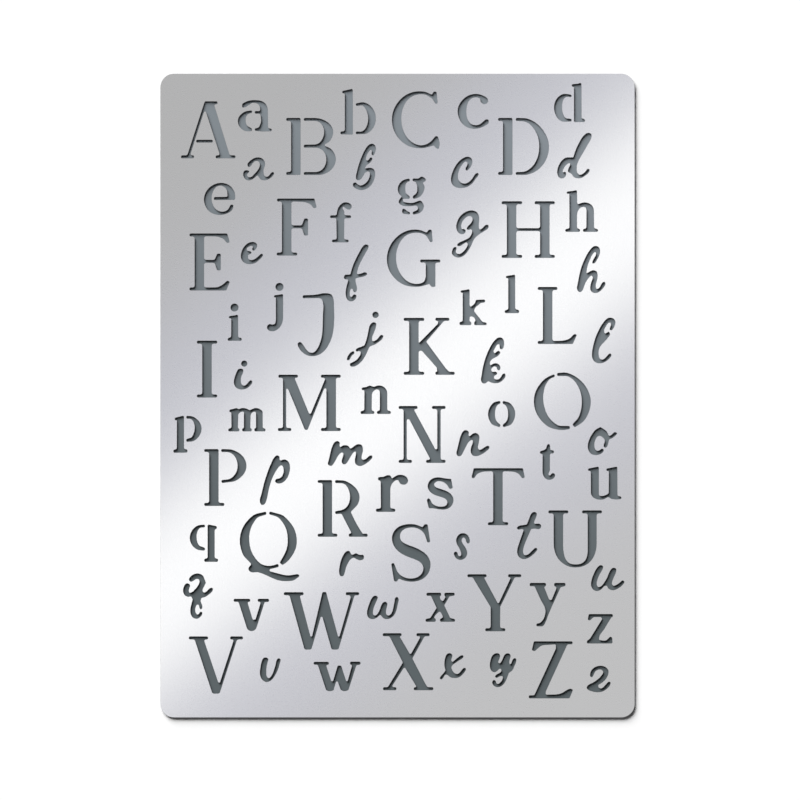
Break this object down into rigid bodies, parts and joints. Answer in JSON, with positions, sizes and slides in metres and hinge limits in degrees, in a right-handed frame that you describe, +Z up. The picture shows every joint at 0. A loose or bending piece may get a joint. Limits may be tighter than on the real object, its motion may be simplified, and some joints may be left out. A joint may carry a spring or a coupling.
{
  "type": "lettering stencil",
  "caption": "Thin flat steel lettering stencil with rounded corners and three alphabets cut through it: large serif capitals, small upright letters and small script letters.",
  "frame": {"origin": "centre of the plate's underside, on the surface it lies on", "axes": "+Z up out of the face that is read, +Y to the tops of the letters, along the plate's long side, +X to the right across the lines of letters"},
  "size_m": [0.14, 0.19, 0.0005],
  "materials": {
    "satin_steel": "satin, fine-grained stainless steel, the same on the face, the back and the cut edges"
  },
  "bodies": {
    "root": {"stencil_plate": "satin_steel"}
  },
  "joints": []
}
